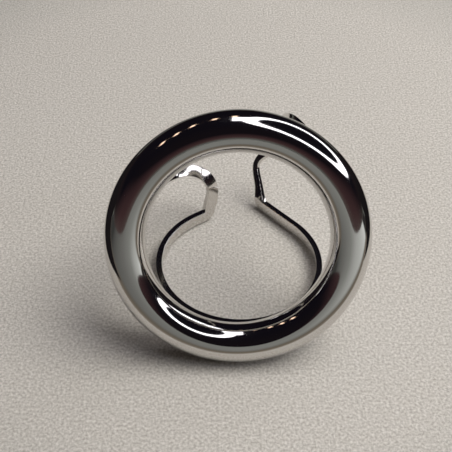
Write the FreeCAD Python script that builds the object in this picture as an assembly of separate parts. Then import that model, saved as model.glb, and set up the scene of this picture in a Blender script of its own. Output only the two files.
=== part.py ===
"""Scarf ring: a hollow polished ring with a bent strip clip brazed to its back.

Millimetres, +Z up.  The scarf ring lies as it does on a table: the ring leans back on its
lower rim and on the back of the clip's band, with its front towards -Y.  The origin is on
the table, under the middle of the object's box.

Everything is drawn first in the ring's own frame (x right, y up in the plane of the ring,
z out of its front, origin at the centre of the ring) and then leant back and set down.
"""
import FreeCAD, Part
import math
import os

Vec = FreeCAD.Vector

# ---- driving dimensions, mm and degrees ----
ring_outer_diameter = 40.0
tube_diameter = 6.2
shell_wall = 0.6
lean_back = 25.5            # how far the ring's front is turned up from level

band_radius = 13.6          # to the middle of the band's thickness
band_thickness = 1.1
band_width = 2.2
band_rise = 23.0            # slope of the band's plane, up towards the back, in the ring's frame
band_top_centre = Vec(0.75, -9.6, -15.66)
left_arc_end = 123.0        # where the arc runs out into a straight tail, from +x
right_arc_end = 42.0
left_tail = 1.6
right_tail = 7.6

ear_thickness = 0.8
braze_radius = 1.5
braze_depth = 0.5           # how far an ear's braze bead is centred under the ring's surface
band_braze_radius = 1.1
band_braze_drop = 0.6       # how far below the band's top edge it comes nearest the ring

# Each ear is a strip given by stations along its inner edge: a point that draws the edge
# towards it, the way the strip's inner face looks there, its width and its thickness.  Before
# the first station it turns a corner about the end of the band; the last is inside the ring.
left_ear_stations = [
    ((-5.0, -3.4, -26.0), (0.46, -0.32, 0.82), 2.5, 1.0),
    ((-4.4, -1.7, -25.6), (0.60, -0.22, 0.77), 2.3, 0.9),
    ((-4.3, 0.3, -25.0), (0.61, 0.14, 0.78), 2.2, ear_thickness),
    ((-5.7, 2.0, -24.8), (0.48, 0.20, 0.86), 2.2, ear_thickness),
    ((-7.8, 2.7, -24.7), (0.37, 0.34, 0.86), 2.2, ear_thickness),
    ((-10.0, 2.6, -23.2), (0.33, 0.54, 0.77), 2.1, ear_thickness),
    ((-11.9, 2.8, -19.0), (0.34, 0.66, 0.67), 2.0, ear_thickness),
    ((-13.3, 4.0, -12.5), (0.65, 0.75, 0.05), 2.0, ear_thickness),
    ((-14.5, 5.8, -6.5), (0.57, 0.81, -0.15), 2.0, ear_thickness),
    ((-15.0, 7.0, -2.4), (0.42, 0.88, -0.21), 2.0, ear_thickness),
]
right_ear_stations = [
    ((5.2, -2.6, -29.2), (-0.66, 0.30, 0.69), 1.7, 1.0),
    ((5.0, -1.3, -30.4), (-0.70, 0.20, 0.69), 1.4, 0.9),
    ((4.7, 0.2, -31.6), (-0.70, 0.36, 0.62), 1.3, ear_thickness),
    ((4.3, 2.0, -32.5), (-0.66, 0.42, 0.63), 1.3, ear_thickness),
    ((4.8, 3.4, -32.3), (-0.46, 0.60, 0.65), 1.4, ear_thickness),
    ((6.9, 4.9, -31.0), (-0.40, 0.64, 0.65), 1.6, ear_thickness),
    ((8.0, 8.6, -26.0), (-0.60, 0.60, 0.50), 1.9, ear_thickness),
    ((7.4, 12.4, -19.4), (-0.90, -0.20, 0.15), 2.0, ear_thickness),
    ((7.4, 15.2, -12.8), (-0.92, 0.40, 0.05), 2.0, ear_thickness),
    ((8.9, 14.6, -8.0), (-0.54, 0.74, 0.39), 2.0, ear_thickness),
    ((10.2, 13.0, -4.8), (-0.62, 0.64, 0.45), 2.0, ear_thickness),
    ((10.6, 12.3, -2.4), (-0.70, 0.65, 0.31), 2.0, ear_thickness),
]

# ---- values worked out from them ----
tube_radius = tube_diameter / 2
ring_radius = ring_outer_diameter / 2 - tube_radius
band_inner_radius = band_radius - band_thickness / 2
band_outer_radius = band_radius + band_thickness / 2

# The band's own axes: across it, towards its far side, and up along its axis.
rise = math.radians(band_rise)
across = Vec(1, 0, 0)
to_far = Vec(0, math.sin(rise), -math.cos(rise))
band_axis = Vec(0, math.cos(rise), math.sin(rise))


def unit(vector):
    """The same direction with length 1."""
    return vector * (1.0 / vector.Length)


def from_band_axis(angle):
    """Outward direction in the band's plane, at an angle from +x towards the far side."""
    turn = math.radians(angle)
    return across * math.cos(turn) + to_far * math.sin(turn)


def towards_gap(angle):
    """Direction in which the band's strip runs on from the arc's end, towards the gap."""
    turn = math.radians(angle)
    along = across * math.sin(turn) - to_far * math.cos(turn)
    return along if angle > 90 else along * -1


def face_of(points):
    """The flat face inside a closed outline of straight edges."""
    return Part.Face(Part.makePolygon(points + [points[0]]))


def ring_shell(side):
    """Half of the hollow ring, a round gutter: side 1 is the front half, -1 the back half."""
    centre = Vec(ring_radius, 0, 0)
    inner_radius = tube_radius - shell_wall

    def half_circle(radius):
        ends = [centre + Vec(sign * radius, 0, 0) for sign in (-1, 1)]
        return Part.Arc(ends[0], centre + Vec(0, 0, side * radius), ends[1]).toShape()

    def rim(sign):
        return Part.makeLine(centre + Vec(sign * inner_radius, 0, 0),
                             centre + Vec(sign * tube_radius, 0, 0))

    outline = [half_circle(tube_radius), rim(1), half_circle(inner_radius), rim(-1)]
    section = Part.Face(Part.Wire(Part.__sortEdges__(outline)))
    return section.revolve(Vec(0, 0, 0), Vec(0, 0, 1), 360)


def solid_ring():
    """The ring without its hollow, for cutting what meets it."""
    return Part.makeTorus(ring_radius, tube_radius)


def band_end_section(angle):
    """The band's cross section where the arc ends."""
    out = from_band_axis(angle)
    corners = [band_top_centre + out * band_inner_radius,
               band_top_centre + out * band_outer_radius,
               band_top_centre + out * band_outer_radius - band_axis * band_width,
               band_top_centre + out * band_inner_radius - band_axis * band_width]
    return face_of(corners)


def clip_band():
    """The band: an open hoop of flat strip with a straight tail at each end."""
    sweep = 360 - (left_arc_end - right_arc_end)
    arc = band_end_section(right_arc_end).revolve(band_top_centre, band_axis, -sweep)
    right = band_end_section(right_arc_end).extrude(towards_gap(right_arc_end) * right_tail)
    left = band_end_section(left_arc_end).extrude(towards_gap(left_arc_end) * left_tail)
    return arc.fuse([right, left]).removeSplitter()


def ear_corner(pivot, along, outward):
    """Quarter disc that turns the strip from the band's end up into the ear."""
    low = pivot - band_axis * band_width
    side = pivot + along * band_width
    middle = pivot + unit(along - band_axis) * band_width
    outline = [Part.makeLine(pivot, low), Part.Arc(low, middle, side).toShape(),
               Part.makeLine(side, pivot)]
    return Part.Face(Part.Wire(outline)).extrude(outward * band_thickness)


def tail_end(arc_end, tail):
    """Where a tail ends: its top inner corner, the way it runs and the way out of the hoop."""
    along = towards_gap(arc_end)
    outward = from_band_axis(arc_end)
    return band_top_centre + outward * band_inner_radius + along * tail, along, outward


def ear_rows(arc_end, tail, stations):
    """An ear's four corner points, row after row: the first row, then one for each station."""
    pivot, along, outward = tail_end(arc_end, tail)
    handed = 1 if arc_end > 90 else -1
    rows = [[pivot, pivot + along * band_width,
             pivot + along * band_width + outward * band_thickness,
             pivot + outward * band_thickness]]
    points = [pivot] + [Vec(*station[0]) for station in stations]
    for index in range(1, len(points)):
        ahead = points[min(index + 1, len(points) - 1)]
        tangent = unit(ahead - points[index - 1])
        _, facing, width, thickness = stations[index - 1]
        facing = Vec(*facing)
        back = unit(tangent * facing.dot(tangent) - facing)
        wide = unit(back.cross(tangent)) * handed
        corner = points[index]
        rows.append([corner, corner + wide * width, corner + wide * width + back * thickness,
                     corner + back * thickness])
    return rows


def ruled_side(poles, other_poles):
    """Face between two smooth lines, each drawn towards its poles, first and last reached."""
    knots = list(range(len(poles) - 2))
    counts = [4] + [1] * (len(knots) - 2) + [4]
    surface = Part.BSplineSurface()
    surface.buildFromPolesMultsKnots([poles, other_poles], [2, 2], counts, [0, 1], knots,
                                     False, False, 1, 3)
    return surface.toShape()


def strip(corner, rows):
    """Solid that runs on from a corner; its four long edges follow the rows' points smoothly."""
    lines = [[row[spot] for row in rows] for spot in range(4)]
    sides = [ruled_side(lines[spot], lines[(spot + 1) % 4]) for spot in range(4)]
    shared = face_of(rows[0]).CenterOfMass
    around_corner = [face for face in corner.Faces
                     if (face.CenterOfMass - shared).Length > 0.01]
    shell = Part.Shell(around_corner + sides + [face_of(rows[-1])])
    shell.sewShape()
    solid = Part.Solid(shell)
    return solid if solid.Volume > 0 else solid.reversed()


def ear(arc_end, tail, rows):
    """An ear: the corner at the band's end, then a strip that curls over to the ring's back."""
    return strip(ear_corner(*tail_end(arc_end, tail)), rows).cut(solid_ring())


def ear_braze(ear_shape, rows):
    """Bead of braze round the place where an ear's end meets the ring."""
    middle = (rows[-1][0] + rows[-1][1]) * 0.5
    rim = unit(Vec(middle.x, middle.y, 0)) * ring_radius
    out = unit(Vec(middle.x, middle.y, -tube_radius) - rim)
    centre = rim + out * (tube_radius - braze_depth)
    bead = Part.makeSphere(braze_radius, centre)
    return bead.cut(solid_ring()).cut(ear_shape)


def band_braze():
    """Bead of braze in the grooves above and below the line where the band meets the ring."""
    contact = band_top_centre - to_far * band_outer_radius - band_axis * band_braze_drop
    bead = Part.makeSphere(band_braze_radius, contact)
    low = band_top_centre - band_axis * ring_radius
    inside = Part.makeCylinder(band_outer_radius, 2 * ring_radius, low, band_axis)
    return bead.cut(inside).cut(solid_ring())


def build():
    """All the pieces, in the ring's own frame."""
    left_rows = ear_rows(left_arc_end, left_tail, left_ear_stations)
    right_rows = ear_rows(right_arc_end, right_tail, right_ear_stations)
    left_ear = ear(left_arc_end, left_tail, left_rows)
    right_ear = ear(right_arc_end, right_tail, right_rows)
    return {
        "ring_front_shell": ring_shell(1),
        "ring_back_shell": ring_shell(-1),
        "clip_band": clip_band(),
        "left_ear": left_ear,
        "right_ear": right_ear,
        "left_ear_braze": ear_braze(left_ear, left_rows),
        "right_ear_braze": ear_braze(right_ear, right_rows),
        "band_braze": band_braze(),
    }


def set_down(pieces):
    """Lean the pieces back and move them so that the origin is under the middle of the box."""
    lean = FreeCAD.Rotation(Vec(1, 0, 0), 90 - lean_back)
    leant = {name: shape.copy() for name, shape in pieces.items()}
    for shape in leant.values():
        shape.Placement = FreeCAD.Placement(Vec(0, 0, 0), lean)
    box = Part.makeCompound(list(leant.values())).optimalBoundingBox(False)
    shift = Vec(-box.Center.x, -box.Center.y, -box.ZMin)
    for shape in leant.values():
        shape.Placement = FreeCAD.Placement(shift, lean)
    return leant, shift


if __name__ == "__main__":
    os.makedirs("parts", exist_ok=True)
    placed, offset = set_down(build())
    print("ring centre at", offset)
    for node, piece in placed.items():
        piece.exportStep(f"parts/{node}.step")
        print(node, len(piece.Solids), "solids, valid", piece.isValid(), "volume", round(piece.Volume, 2))
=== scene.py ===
import math

import bpy
from mathutils import Matrix, Vector


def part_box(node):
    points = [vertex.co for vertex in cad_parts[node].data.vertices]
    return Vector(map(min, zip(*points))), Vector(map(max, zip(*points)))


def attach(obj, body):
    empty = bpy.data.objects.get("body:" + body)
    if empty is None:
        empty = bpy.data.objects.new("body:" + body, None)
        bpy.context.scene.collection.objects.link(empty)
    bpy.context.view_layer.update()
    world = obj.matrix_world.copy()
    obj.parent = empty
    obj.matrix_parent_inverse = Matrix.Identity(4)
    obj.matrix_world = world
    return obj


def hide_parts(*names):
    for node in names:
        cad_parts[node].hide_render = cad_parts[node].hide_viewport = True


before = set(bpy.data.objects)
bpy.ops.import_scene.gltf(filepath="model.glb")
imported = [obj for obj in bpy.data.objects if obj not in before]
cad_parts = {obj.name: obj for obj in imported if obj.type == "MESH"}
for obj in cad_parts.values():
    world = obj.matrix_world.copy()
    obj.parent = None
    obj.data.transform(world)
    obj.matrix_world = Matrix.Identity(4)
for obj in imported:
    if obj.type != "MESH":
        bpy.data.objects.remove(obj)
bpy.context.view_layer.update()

MM = 0.001

# ---- sizes of the CAD model, mm and degrees, in the ring's own frame ----
# x right, y up in the plane of the ring, z out of its front, origin at the ring's centre
RING_RADIUS = 16.9
TUBE_RADIUS = 3.1
SHELL_WALL = 0.6
LEAN_BACK = 25.5
BAND_RADIUS = 13.6
BAND_THICKNESS = 1.1
BAND_WIDTH = 2.2
BAND_RISE = math.radians(23.0)
BAND_TOP_CENTRE = Vector((0.75, -9.6, -15.66))
LEFT_ARC_END, LEFT_TAIL = 123.0, 1.6
RIGHT_ARC_END, RIGHT_TAIL = 42.0, 7.6
EAR_THICKNESS = 0.8
EDGE_ROUND = 0.09           # the strips' softened edges
CROWN = 0.04                # how far their wide faces fall away towards the edges

# Each ear's stations: a point that draws its inner edge, the way its inner face looks there,
# its width and its thickness.
LEFT_EAR = (
    ((-5.0, -3.4, -26.0), (0.46, -0.32, 0.82), 2.5, 1.0),
    ((-4.4, -1.7, -25.6), (0.60, -0.22, 0.77), 2.3, 0.9),
    ((-4.3, 0.3, -25.0), (0.61, 0.14, 0.78), 2.2, EAR_THICKNESS),
    ((-5.7, 2.0, -24.8), (0.48, 0.20, 0.86), 2.2, EAR_THICKNESS),
    ((-7.8, 2.7, -24.7), (0.37, 0.34, 0.86), 2.2, EAR_THICKNESS),
    ((-10.0, 2.6, -23.2), (0.33, 0.54, 0.77), 2.1, EAR_THICKNESS),
    ((-11.9, 2.8, -19.0), (0.34, 0.66, 0.67), 2.0, EAR_THICKNESS),
    ((-13.3, 4.0, -12.5), (0.65, 0.75, 0.05), 2.0, EAR_THICKNESS),
    ((-14.5, 5.8, -6.5), (0.57, 0.81, -0.15), 2.0, EAR_THICKNESS),
    ((-15.0, 7.0, -2.4), (0.42, 0.88, -0.21), 2.0, EAR_THICKNESS),
)
RIGHT_EAR = (
    ((5.2, -2.6, -29.2), (-0.66, 0.30, 0.69), 1.7, 1.0),
    ((5.0, -1.3, -30.4), (-0.70, 0.20, 0.69), 1.4, 0.9),
    ((4.7, 0.2, -31.6), (-0.70, 0.36, 0.62), 1.3, EAR_THICKNESS),
    ((4.3, 2.0, -32.5), (-0.66, 0.42, 0.63), 1.3, EAR_THICKNESS),
    ((4.8, 3.4, -32.3), (-0.46, 0.60, 0.65), 1.4, EAR_THICKNESS),
    ((6.9, 4.9, -31.0), (-0.40, 0.64, 0.65), 1.6, EAR_THICKNESS),
    ((8.0, 8.6, -26.0), (-0.60, 0.60, 0.50), 1.9, EAR_THICKNESS),
    ((7.4, 12.4, -19.4), (-0.90, -0.20, 0.15), 2.0, EAR_THICKNESS),
    ((7.4, 15.2, -12.8), (-0.92, 0.40, 0.05), 2.0, EAR_THICKNESS),
    ((8.9, 14.6, -8.0), (-0.54, 0.74, 0.39), 2.0, EAR_THICKNESS),
    ((10.2, 13.0, -4.8), (-0.62, 0.64, 0.45), 2.0, EAR_THICKNESS),
    ((10.6, 12.3, -2.4), (-0.70, 0.65, 0.31), 2.0, EAR_THICKNESS),
)

# ---- how finely the shapes are drawn ----
ROUND_STEPS = 384           # round the ring
TUBE_STEPS = 40             # over one half of the ring's section
ARC_STEPS = 320             # along the band's arc
LEFT_TAIL_STEPS, RIGHT_TAIL_STEPS = 8, 24
TURN_STEPS = 16             # over the quarter turn at the end of a tail
STATION_STEPS = 10          # along an ear, from station to station
CORNER_STEPS = 5            # over a strip's softened edge
CROWN_STEPS = 8             # across a strip's crowned face

# ---- where the ring's frame lies in the row frame ----
shells = [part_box("ring_front_shell"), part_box("ring_back_shell")]
low = Vector([min(box[0][axis] for box in shells) for axis in range(3)])
high = Vector([max(box[1][axis] for box in shells) for axis in range(3)])
RING_CENTRE = (low + high) / 2
LEAN = Matrix.Rotation(math.radians(90 - LEAN_BACK), 3, "X")


def place(point):
    """A point of the ring's frame, mm, in the row frame, metres."""
    return RING_CENTRE + LEAN @ (Vector(point) * MM)


# ---- meshes swept row by row ----
def sweep(name, rows, normals, closed=False):
    """Mesh through rows of points that each go once round a section, with their normals."""
    count, around = len(rows), len(rows[0])
    points = [point for row in rows for point in row]
    faces = []
    for row in range(count if closed else count - 1):
        here, ahead = row * around, ((row + 1) % count) * around
        for spot in range(around):
            right = (spot + 1) % around
            faces.append((here + spot, here + right, ahead + right, ahead + spot))
    sides = len(faces)
    if not closed:
        faces.append(tuple(range(around))[::-1])
        faces.append(tuple((count - 1) * around + spot for spot in range(around)))
    # turn the faces the other way where they point into the solid
    volume = 0.0
    for face in faces[:sides]:
        a, b, c, d = (points[corner] - points[0] for corner in face)
        volume += a.dot(b.cross(c)) + a.dot(c.cross(d))
    if volume < 0:
        faces = [face[::-1] for face in faces]
    mesh = bpy.data.meshes.new(name)
    mesh.from_pydata(points, [], faces)
    mesh.update()
    mesh.polygons.foreach_set("use_smooth", [True] * len(faces))
    flat = [normal for row in normals for normal in row]
    corners = []
    for index, face in enumerate(mesh.polygons):
        for vertex in face.vertices:
            corners.append(flat[vertex] if index < sides else face.normal)
    mesh.normals_split_custom_set(corners)
    thing = bpy.data.objects.new(name, mesh)
    bpy.context.scene.collection.objects.link(thing)
    return thing


# ---- the ring ----
def ring_half(name, side):
    """Half of the hollow ring: a round gutter, its outside, two rims and its inside."""
    turns = [math.pi * step / TUBE_STEPS for step in range(TUBE_STEPS + 1)]
    inner = TUBE_RADIUS - SHELL_WALL
    section = [(TUBE_RADIUS, 1, turn) for turn in turns]
    section += [(inner, -1, turn) for turn in turns[::-1]]
    rows, normals = [], []
    for step in range(ROUND_STEPS):
        turn = 2 * math.pi * step / ROUND_STEPS
        out = Vector((math.cos(turn), math.sin(turn), 0))
        facing = [out * math.cos(around) + Vector((0, 0, side * math.sin(around)))
                  for _, _, around in section]
        rows.append([place(out * RING_RADIUS + way * radius)
                     for way, (radius, _, _) in zip(facing, section)])
        normals.append([LEAN @ way * sign for way, (_, sign, _) in zip(facing, section)])
    return sweep(name, rows, normals, closed=True)


# ---- the clip's strips ----
ACROSS = Vector((1, 0, 0))
TO_FAR = Vector((0, math.sin(BAND_RISE), -math.cos(BAND_RISE)))
BAND_AXIS = Vector((0, math.cos(BAND_RISE), math.sin(BAND_RISE)))
STANDS_STILL = 0.1          # share of its section's step below which a point stands still


def outward(angle):
    """Direction out of the band at an angle from +x towards its far side."""
    turn = math.radians(angle)
    return ACROSS * math.cos(turn) + TO_FAR * math.sin(turn)


def towards_gap(angle):
    """Direction in which the band's strip runs on from the arc's end."""
    turn = math.radians(angle)
    along = ACROSS * math.sin(turn) - TO_FAR * math.cos(turn)
    return along if angle > 90 else -along


def smooth_point(poles, at):
    """Point of the clamped cubic B-spline on the poles; at runs from 0 to len(poles) - 3."""
    last = len(poles) - 3
    knots = [0] * 4 + list(range(1, last)) + [last] * 4
    span = min(int(at), last - 1) + 3
    work = [Vector(poles[span - 3 + step]) for step in range(4)]
    for level in range(1, 4):
        for step in range(3, level - 1, -1):
            start = knots[span - 3 + step]
            share = (at - start) / (knots[span + 1 + step - level] - start)
            work[step] = work[step - 1].lerp(work[step], share)
    return work[3]


def corner_rows(stations, first, handed):
    """The ear's four corner points for its start and for each station, as the CAD has them."""
    points = [first[0]] + [Vector(station[0]) for station in stations]
    rows = [first]
    for index in range(1, len(points)):
        ahead = points[min(index + 1, len(points) - 1)]
        tangent = (ahead - points[index - 1]).normalized()
        _, facing, width, thickness = stations[index - 1]
        facing = Vector(facing)
        out = (tangent * facing.dot(tangent) - facing).normalized()
        wide = out.cross(tangent).normalized() * handed
        corner = points[index]
        rows.append((corner, corner + wide * width, corner + wide * width + out * thickness,
                     corner + out * thickness))
    return rows


def quad(pivot, wide, out):
    """The strip's four corners: inner edge, across, across and out, out."""
    return (pivot, pivot + wide, pivot + wide + out, pivot + out)


def pivot_at(arc_end, along):
    """Top inner corner of the band's tail, that far beyond the end of the arc."""
    return BAND_TOP_CENTRE + outward(arc_end) * (BAND_RADIUS - BAND_THICKNESS / 2) \
        + towards_gap(arc_end) * along


def tail_rows(arc_end, lengths):
    """Corner rows of a straight tail at those distances from the arc's end."""
    return [quad(pivot_at(arc_end, length), -BAND_AXIS * BAND_WIDTH,
                 outward(arc_end) * BAND_THICKNESS) for length in lengths]


def arc_rows(angles):
    """Corner rows of the band's arc at those angles."""
    inner = BAND_RADIUS - BAND_THICKNESS / 2
    return [quad(BAND_TOP_CENTRE + outward(angle) * inner, -BAND_AXIS * BAND_WIDTH,
                 outward(angle) * BAND_THICKNESS) for angle in angles]


def turn_rows(arc_end, tail):
    """Corner rows of the quarter turn about the end of a tail, after its first row."""
    along = towards_gap(arc_end)
    rows = []
    for step in range(1, TURN_STEPS + 1):
        turn = math.pi / 2 * step / TURN_STEPS
        wide = (along * math.sin(turn) - BAND_AXIS * math.cos(turn)) * BAND_WIDTH
        rows.append(quad(pivot_at(arc_end, tail), wide, outward(arc_end) * BAND_THICKNESS))
    return rows


def ear_rows(arc_end, tail, stations):
    """Corner rows of the curled part of an ear, after the quarter turn."""
    first = quad(pivot_at(arc_end, tail), towards_gap(arc_end) * BAND_WIDTH,
                 outward(arc_end) * BAND_THICKNESS)
    rows = corner_rows(stations, first, 1 if arc_end > 90 else -1)
    last = len(rows) - 3
    spots = [step / STATION_STEPS for step in range(1, last * STATION_STEPS + 1)]
    lines = [[row[corner] for row in rows] for corner in range(4)]
    return [tuple(smooth_point(line, spot) for line in lines) for spot in spots]


def rounded_section(wide, thick):
    """Points round the strip's section as shares of its width and thickness, with normals.

    The two wide faces are slightly crowned; the edges between the faces are rounded."""
    radius = EDGE_ROUND
    half = wide / 2 - radius
    tilt = math.degrees(math.atan(2 * CROWN / half))
    spots = []

    def add(along, out, turn):
        spots.append((along / wide, out / thick, math.cos(turn), math.sin(turn)))

    def corner(along, out, first, last):
        for step in range(CORNER_STEPS + 1):
            turn = math.radians(first + (last - first) * step / CORNER_STEPS)
            add(along + math.cos(turn) * radius, out + math.sin(turn) * radius, turn)

    def crowned_face(middle, side):
        for step in range(1, CROWN_STEPS):
            share = 2 * step / CROWN_STEPS - 1
            add(wide / 2 - side * share * half, middle - side * CROWN * share ** 2,
                math.radians(side * 90 + share * tilt))

    near, far = radius + CROWN, thick - radius - CROWN
    corner(radius, near, 180, 270 - tilt)
    crowned_face(0, -1)
    corner(wide - radius, near, 270 + tilt, 360)
    corner(wide - radius, far, 0, 90 - tilt)
    crowned_face(thick, 1)
    corner(radius, far, 90 + tilt, 180)
    return spots


def strip(name, rows, before=(), after=()):
    """A strip of metal with softened edges through rows of four corners.

    before and after are the neighbouring pieces' rows, so that the shading runs on."""
    whole = list(before) + list(rows) + list(after)
    points, ways = [], []
    for inner, low_edge, far, out_edge in whole:
        wide, out = low_edge - inner, out_edge - inner
        section = rounded_section(wide.length, out.length)
        points.append([inner * (1 - s) * (1 - q) + low_edge * s * (1 - q) + far * s * q
                       + out_edge * (1 - s) * q for s, q, _, _ in section])
        ways.append([(wide.normalized() * a + out.normalized() * b,
                      out.normalized() * a - wide.normalized() * b)
                     for _, _, a, b in section])
    normals = []
    for row, line in enumerate(points):
        back, ahead = points[max(row - 1, 0)], points[min(row + 1, len(points) - 1)]
        middle = sum(ahead, Vector()) / len(line) - sum(back, Vector()) / len(line)
        normals.append([])
        for spot in range(len(line)):
            run = ahead[spot] - back[spot]
            if run.length < STANDS_STILL * middle.length:
                run = middle
            facing, round_way = ways[row][spot]
            normal = run.cross(round_way).normalized()
            if normal.dot(facing) < 0:
                normal = -normal
            normals[-1].append((LEAN @ normal).normalized())
    start, end = len(before), len(before) + len(rows)
    placed = [[place(point) for point in line] for line in points[start:end]]
    return sweep(name, placed, normals[start:end])


def build_clip():
    """The band and the two ears."""
    sweep_angle = 360 - (LEFT_ARC_END - RIGHT_ARC_END)
    angles = [RIGHT_ARC_END - sweep_angle * step / ARC_STEPS for step in range(ARC_STEPS + 1)]
    right_tail = tail_rows(RIGHT_ARC_END, [RIGHT_TAIL * step / RIGHT_TAIL_STEPS
                                           for step in range(RIGHT_TAIL_STEPS, 0, -1)])
    left_tail = tail_rows(LEFT_ARC_END, [LEFT_TAIL * step / LEFT_TAIL_STEPS
                                         for step in range(1, LEFT_TAIL_STEPS + 1)])
    band = right_tail + arc_rows(angles) + left_tail
    left = turn_rows(LEFT_ARC_END, LEFT_TAIL) + ear_rows(LEFT_ARC_END, LEFT_TAIL, LEFT_EAR)
    right = turn_rows(RIGHT_ARC_END, RIGHT_TAIL) + ear_rows(RIGHT_ARC_END, RIGHT_TAIL, RIGHT_EAR)
    return (strip("clip_band_strip", band, right[:1], left[:1]),
            strip("left_ear_strip", band[-1:] + left, band[-2:-1]),
            strip("right_ear_strip", band[:1] + right, band[1:2]))


# ---- materials ----
def shader_nodes(name):
    """A new material, its node tree and its Principled shader."""
    material = bpy.data.materials.new(name)
    material.use_nodes = True
    return material, material.node_tree, material.node_tree.nodes["Principled BSDF"]


def own_place(tree):
    """Coordinates in the piece's own space."""
    return tree.nodes.new("ShaderNodeTexCoord").outputs["Object"]


def noise(tree, place_socket, scale, detail, roughness=0.5):
    """Noise over the given coordinates."""
    texture = tree.nodes.new("ShaderNodeTexNoise")
    texture.inputs["Scale"].default_value = scale
    texture.inputs["Detail"].default_value = detail
    texture.inputs["Roughness"].default_value = roughness
    tree.links.new(place_socket, texture.inputs["Vector"])
    return texture.outputs["Fac"]


def map_range(tree, value, first, last, low_value=0.0, high_value=1.0):
    """The value's place between first and last, as a place between two other values."""
    span = tree.nodes.new("ShaderNodeMapRange")
    span.inputs["From Min"].default_value = first
    span.inputs["From Max"].default_value = last
    span.inputs["To Min"].default_value = low_value
    span.inputs["To Max"].default_value = high_value
    tree.links.new(value, span.inputs["Value"])
    return span.outputs["Result"]


def color_ramp(tree, value, stops):
    """Colours by value; stops are positions with their colours."""
    shade = tree.nodes.new("ShaderNodeValToRGB")
    elements = shade.color_ramp.elements
    for end, (position, color) in ((0, stops[0]), (1, stops[-1])):
        elements[end].position = position
        elements[end].color = (*color, 1)
    for position, color in stops[1:-1]:
        elements.new(position).color = (*color, 1)
    tree.links.new(value, shade.inputs["Fac"])
    return shade.outputs["Color"]


def blend(tree, share, first, second):
    """Mix of two colours by share; the second may be a plain colour."""
    mixer = tree.nodes.new("ShaderNodeMix")
    mixer.data_type = "RGBA"
    tree.links.new(share, mixer.inputs["Factor"])
    tree.links.new(first, mixer.inputs["A"])
    if isinstance(second, tuple):
        mixer.inputs["B"].default_value = (*second, 1)
    else:
        tree.links.new(second, mixer.inputs["B"])
    return mixer.outputs["Result"]


def add_bump(tree, shader, height, strength, distance):
    """Relief on the shader, its distance in metres."""
    relief = tree.nodes.new("ShaderNodeBump")
    relief.inputs["Strength"].default_value = strength
    relief.inputs["Distance"].default_value = distance
    tree.links.new(height, relief.inputs["Height"])
    tree.links.new(relief.outputs["Normal"], shader.inputs["Normal"])


CLOUD_SCALE = 160.0
CLOUD_DARKENING = 0.96
LEAST_HAZE, MOST_HAZE = 0.7, 1.4        # shares of the metal's roughness
HAIR_TURN = (0.4, 0.7, 0.3)
HAIR_SCALE = (300.0, 4500.0, 1800.0)
HAIR_DEPTH = 0.000004


def polished_metal(name, tint, rough, scratch):
    """Mirror-polished plating: faint cloudiness in tint and gloss, and hairline scratches."""
    material, tree, shader = shader_nodes(name)
    shader.inputs["Metallic"].default_value = 1.0
    place_socket = own_place(tree)
    cloud = noise(tree, place_socket, scale=CLOUD_SCALE, detail=5.0)
    haze = map_range(tree, cloud, 0.0, 1.0, rough * LEAST_HAZE, rough * MOST_HAZE)
    tree.links.new(haze, shader.inputs["Roughness"])
    darker = tuple(part * CLOUD_DARKENING for part in tint)
    shade = color_ramp(tree, cloud, ((0.3, darker), (0.7, tint)))
    tree.links.new(shade, shader.inputs["Base Color"])
    stretch = tree.nodes.new("ShaderNodeMapping")
    stretch.inputs["Rotation"].default_value = HAIR_TURN
    stretch.inputs["Scale"].default_value = HAIR_SCALE
    tree.links.new(place_socket, stretch.inputs["Vector"])
    hairs = noise(tree, stretch.outputs["Vector"], scale=1.0, detail=3.0)
    add_bump(tree, shader, hairs, strength=scratch, distance=HAIR_DEPTH)
    return material


PILE_SCALE = 2400.0
PILE_DEPTH = 0.0003
PILE_DARK, PILE_PALE = (0.38, 0.36, 0.32), (0.70, 0.675, 0.63)
# The far cloth colour is painted shade, which the cloth fades to far from the object.
FAR_CLOTH_SHADE = (0.24, 0.255, 0.235)
CLOTH_MIDDLE = (0, 0.025, 0)
FADE_START, FADE_END = 0.062, 0.14      # distances from the cloth's middle


def velvet():
    """Pale short-pile cloth, with painted shade that darkens it far from the object."""
    material, tree, shader = shader_nodes("pale_velvet")
    shader.inputs["Roughness"].default_value = 0.95
    shader.inputs["Specular IOR Level"].default_value = 0.1
    place_socket = own_place(tree)
    pile = noise(tree, place_socket, scale=PILE_SCALE, detail=5.0, roughness=0.65)
    near = color_ramp(tree, pile, ((0.34, PILE_DARK), (0.66, PILE_PALE)))
    away = tree.nodes.new("ShaderNodeVectorMath")
    away.operation = "DISTANCE"
    away.inputs[1].default_value = CLOTH_MIDDLE
    tree.links.new(place_socket, away.inputs[0])
    # painted shade: the cloth turns darker with distance from its middle
    far_shade = map_range(tree, away.outputs["Value"], FADE_START, FADE_END)
    tree.links.new(blend(tree, far_shade, near, FAR_CLOTH_SHADE), shader.inputs["Base Color"])
    add_bump(tree, shader, pile, strength=0.5, distance=PILE_DEPTH)
    return material


RING_METAL = polished_metal("polished_ring", (0.70, 0.685, 0.665), rough=0.065, scratch=0.15)
CLIP_METAL = polished_metal("polished_strip", (0.70, 0.68, 0.65), rough=0.10, scratch=0.3)
BRAZE_METAL = polished_metal("plated_braze", (0.62, 0.59, 0.55), rough=0.42, scratch=0.8)


# ---- the pieces ----
def finish_piece(piece, material, node):
    """Gives a piece its material and its place in the frame."""
    piece.data.materials.append(material)
    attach(piece, "root")
    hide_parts(node)


for side, half in ((1, "front"), (-1, "back")):
    shell = ring_half(f"ring_{half}_half", side)
    finish_piece(shell, RING_METAL, f"ring_{half}_shell")
band_strip, left_strip, right_strip = build_clip()
finish_piece(band_strip, CLIP_METAL, "clip_band")
finish_piece(left_strip, CLIP_METAL, "left_ear")
finish_piece(right_strip, CLIP_METAL, "right_ear")
for node in ("left_ear_braze", "right_ear_braze", "band_braze"):
    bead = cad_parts[node]
    bead.data.materials.clear()
    bead.data.materials.append(BRAZE_METAL)


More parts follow.
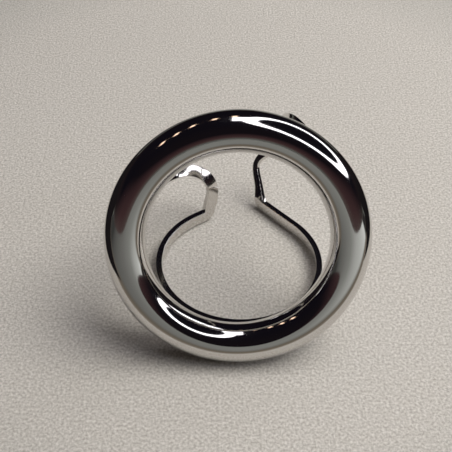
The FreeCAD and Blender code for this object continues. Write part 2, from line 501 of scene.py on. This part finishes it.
# ---- what is staged round the object ----
def stage_mesh(name, corners, faces, material):
    """A staged object from its corners and faces."""
    mesh = bpy.data.meshes.new(name)
    mesh.from_pydata(corners, [], faces)
    mesh.materials.append(material)
    thing = bpy.data.objects.new(name, mesh)
    bpy.context.scene.collection.objects.link(thing)
    return thing


HALF_FLOOR = 2.0
stage_mesh("floor", [(-HALF_FLOOR, -HALF_FLOOR, 0), (HALF_FLOOR, -HALF_FLOOR, 0),
                     (HALF_FLOOR, HALF_FLOOR, 0), (-HALF_FLOOR, HALF_FLOOR, 0)],
           [(0, 1, 2, 3)], velvet())


# ---- lamps, metres and degrees ----
def glow(name, color, strength=1.0):
    """A plain glowing surface."""
    material, _, shader = shader_nodes(name)
    shader.inputs["Base Color"].default_value = (0, 0, 0, 1)
    shader.inputs["Specular IOR Level"].default_value = 0.0
    shader.inputs["Emission Color"].default_value = (*color, 1)
    shader.inputs["Emission Strength"].default_value = strength
    return material


def direction(azimuth, elevation):
    """Unit vector; azimuth 0 is towards the viewer, positive to the right."""
    turn, rise = math.radians(azimuth), math.radians(elevation)
    return Vector((math.sin(turn) * math.cos(rise), -math.cos(turn) * math.cos(rise),
                   math.sin(rise)))


def circle(radius, count=64):
    """Points round a circle."""
    return [(math.cos(2 * math.pi * step / count) * radius,
             math.sin(2 * math.pi * step / count) * radius) for step in range(count)]


def oblong(half_wide, half_high):
    """Corners of an upright rectangle."""
    return [(-half_wide, -half_high), (half_wide, -half_high), (half_wide, half_high),
            (-half_wide, half_high)]


LAMP_TARGET = Vector((0, -0.008, 0.018))


def flat_lamp(name, outlines, way, distance, material):
    """A flat glowing shape that faces the object, its height along the table's depth.

    outlines holds its outer outline, and an inner one where it is a frame."""
    way = direction(*way)
    deep = Vector((0, 1, 0))
    deep = (deep - way * deep.dot(way)).normalized()
    turn = Matrix((deep.cross(way), deep, way)).transposed()
    centre = LAMP_TARGET + way * distance
    points = [centre + turn @ Vector((*spot, 0)) for outline in outlines for spot in outline]
    around = len(outlines[0])
    if len(outlines) == 1:
        faces = [tuple(range(around))]
    else:
        faces = [(spot, (spot + 1) % around, around + (spot + 1) % around, around + spot)
                 for spot in range(around)]
    lamp = stage_mesh(name, points, faces, material)
    lamp.visible_camera = False


LAMP_DISTANCE = 0.6
RING_LAMP_WAY = (99, 52)
RING_LAMP_OUTER, RING_LAMP_INNER = 0.414, 0.288         # radii
PANEL_WAY = (172, 76)
PANEL_HALF_SIZE = (0.047, 0.115)
SPOT_DISTANCE = 1.5
SPOT_WAYS = ((-178, 60), (-153, 61.3), (-125.5, 57.8), (-106.7, 52.6), (-97, 45))
SPOT_HALF_SIZE = (0.038, 0.11)

white_glow = glow("ring_lamp_glow", (0.95, 0.94, 1.0), strength=2.8)
flat_lamp("ring_lamp", [circle(RING_LAMP_OUTER), circle(RING_LAMP_INNER)], RING_LAMP_WAY,
          LAMP_DISTANCE, white_glow)
flat_lamp("panel_lamp", [oblong(*PANEL_HALF_SIZE)], PANEL_WAY, LAMP_DISTANCE, white_glow)
warm_glow = glow("spot_glow", (1.0, 0.70, 0.52), strength=2.2)
for index, spot_way in enumerate(SPOT_WAYS):
    flat_lamp(f"spot_{index}", [oblong(*SPOT_HALF_SIZE)], spot_way, SPOT_DISTANCE, warm_glow)

# ---- low glowing cards that only the polished metal sees, painted reflections, metres ----
# The front card is a painted reflection: a foot with painted shade, then a slope with painted
# light that grows brighter towards the right.
FOOT_START, FOOT_END, SLOPE_END = -0.031, -0.048, -0.068            # y
FOOT_START_HEIGHT, FOOT_END_HEIGHT, SLOPE_HEIGHT = 0.0003, 0.0008, 0.027
FOLD_BLEND = (-0.047, -0.053)                                       # y
FRONT_HALF_WIDTH = 0.3                                              # x
# painted shade on the foot, darkest past its start
PAINTED_FOOT_SHADE = ((0.0, (0.46, 0.43, 0.38)), (0.2, (0.25, 0.215, 0.18)),
              (0.5, (0.17, 0.145, 0.115)), (1.0, (0.15, 0.13, 0.105)))
SLOPE_SPAN = (-0.10, 0.16)                                          # x
# painted light on the slope: dark at the left, bright towards the right, dark again at the far
# right
PAINTED_SLOPE_LIGHT = ((0.0, (0.05, 0.05, 0.048)), (0.30, (0.18, 0.18, 0.17)),
               (0.42, (0.26, 0.265, 0.25)), (0.52, (0.46, 0.47, 0.45)),
               (0.80, (0.74, 0.76, 0.74)), (0.84, (0.74, 0.76, 0.74)),
               (0.92, (0.03, 0.027, 0.028)))

# The dark cards are painted shade: dark glowing sheets to the sides that the metal mirrors; each
# turns up at its far end.
DARK = (0.012, 0.010, 0.011)
SIDE_BACK = 0.30                                                    # y
SIDE_FOLD, SIDE_END, SIDE_END_HEIGHT = 0.30, 0.32, 0.055            # x, x, z
SIDE_CARDS = (                          # name, side, where it starts, its front edge, height
    ("left_card", -1, 0.047, FOOT_END, 0.0012),
    ("right_card", 1, 0.060, FOOT_START, 0.0012),
    ("far_right_card", 1, 0.120, FOOT_END, 0.0016),
)


def painted_reflection_glow():
    """The front card's glow, painted shade and light for the metal to mirror, by depth over its
    foot and by width over its slope.
    """
    material, tree, shader = shader_nodes("card_glow")
    shader.inputs["Base Color"].default_value = (0, 0, 0, 1)
    shader.inputs["Specular IOR Level"].default_value = 0.0
    shader.inputs["Emission Strength"].default_value = 1.0
    parts = tree.nodes.new("ShaderNodeSeparateXYZ")
    tree.links.new(own_place(tree), parts.inputs["Vector"])
    over_foot = map_range(tree, parts.outputs["Y"], FOOT_START, FOOT_END)
    over_slope = map_range(tree, parts.outputs["X"], *SLOPE_SPAN)
    past_fold = map_range(tree, parts.outputs["Y"], *FOLD_BLEND)
    shade = blend(tree, past_fold, color_ramp(tree, over_foot, PAINTED_FOOT_SHADE),
                  color_ramp(tree, over_slope, PAINTED_SLOPE_LIGHT))
    tree.links.new(shade, shader.inputs["Emission Color"])
    return material


def metal_card(name, rows, material):
    """A folded glowing card through three rows of two corners; only the polished metal sees it,
    as a painted reflection.
    """
    corners = [corner for row in rows for corner in row]
    card = stage_mesh(name, corners, [(0, 1, 3, 2), (2, 3, 5, 4)], material)
    card.visible_camera = False
    card.visible_diffuse = False
    card.visible_shadow = False


FRONT_PROFILE = ((FOOT_START, FOOT_START_HEIGHT), (FOOT_END, FOOT_END_HEIGHT),
                 (SLOPE_END, SLOPE_HEIGHT))
metal_card("front_card", [((-FRONT_HALF_WIDTH, y, z), (FRONT_HALF_WIDTH, y, z))
                          for y, z in FRONT_PROFILE], painted_reflection_glow())
# painted shade for the metal to mirror on its flanks
painted_shade_glow = glow("painted_shade_card_glow", DARK)
for name, side, start, front, height in SIDE_CARDS:
    side_profile = ((start, height), (SIDE_FOLD, height), (SIDE_END, SIDE_END_HEIGHT))
    metal_card(name, [((side * x, front, z), (side * x, SIDE_BACK, z))
                      for x, z in side_profile], painted_shade_glow)

# ---- a broad soft light for the cloth; polished metal doesn't mirror it ----
SOFT_WAY, SOFT_DISTANCE, SOFT_SIZE, SOFT_POWER = (100, 60), 1.6, 1.2, 24.0


def soft_light():
    """A disk of soft light, turned to the object."""
    lamp_data = bpy.data.lights.new("soft_light", "AREA")
    lamp_data.shape = "DISK"
    lamp_data.size = SOFT_SIZE
    lamp_data.energy = SOFT_POWER
    lamp_data.color = (1.0, 0.97, 0.93)
    lamp = bpy.data.objects.new("soft_light", lamp_data)
    way = direction(*SOFT_WAY)
    turn = way.to_track_quat("Z", "Y").to_matrix().to_4x4()
    lamp.matrix_world = Matrix.Translation(LAMP_TARGET + way * SOFT_DISTANCE) @ turn
    lamp.visible_glossy = False
    bpy.context.scene.collection.objects.link(lamp)


soft_light()

# ---- the room: dark overhead, paler near the table, brown in front ----
# Colours by the sine of the height above the horizon.
AROUND_STOPS = ((0.0, (0.16, 0.165, 0.15)), (0.03, (0.05, 0.045, 0.042)),
                (0.08, (0.018, 0.012, 0.013)), (0.25, (0.006, 0.005, 0.008)))
FRONT_STOPS = ((0.0, (0.13, 0.13, 0.12)), (0.05, (0.085, 0.062, 0.058)),
               (0.16, (0.055, 0.029, 0.030)), (0.30, (0.036, 0.019, 0.021)),
               (0.45, (0.008, 0.006, 0.008)))
FRONT_BLEND = (-0.25, -0.75)            # how far forwards a direction looks


def dim_room():
    """The world's colours."""
    world = bpy.data.worlds.new("room")
    bpy.context.scene.world = world
    world.use_nodes = True
    tree = world.node_tree
    way = tree.nodes.new("ShaderNodeTexCoord")
    parts = tree.nodes.new("ShaderNodeSeparateXYZ")
    tree.links.new(way.outputs["Generated"], parts.inputs["Vector"])
    around = color_ramp(tree, parts.outputs["Z"], AROUND_STOPS)
    front = color_ramp(tree, parts.outputs["Z"], FRONT_STOPS)
    facing = map_range(tree, parts.outputs["Y"], *FRONT_BLEND)
    shade = blend(tree, facing, around, front)
    tree.links.new(shade, tree.nodes["Background"].inputs["Color"])


dim_room()
bpy.context.scene.view_settings.view_transform = "Standard"

# ---- camera, placed in the ring's frame, mm ----
CAMERA_AT = (-4.28, 47.53, 120.96)
CAMERA_RIGHT = Vector((0.9998, 0.0066, 0.0178))
CAMERA_BACK = Vector((-0.0190, 0.3494, 0.9368))
LENS_MM, SENSOR_MM = 69.4, 36.0
CLIP_START, CLIP_END = 0.01, 10.0       # metres


def add_camera():
    """The camera, upright towards the object."""
    right_way = (LEAN @ CAMERA_RIGHT).normalized()
    back_way = (LEAN @ CAMERA_BACK).normalized()
    up_way = back_way.cross(right_way).normalized()
    turn = Matrix((right_way, up_way, back_way)).transposed().to_4x4()
    camera_data = bpy.data.cameras.new("camera")
    camera_data.lens = LENS_MM
    camera_data.sensor_width = SENSOR_MM
    camera_data.clip_start = CLIP_START
    camera_data.clip_end = CLIP_END
    camera = bpy.data.objects.new("camera", camera_data)
    bpy.context.scene.collection.objects.link(camera)
    camera.matrix_world = Matrix.Translation(place(CAMERA_AT)) @ turn
    bpy.context.scene.camera = camera


add_camera()
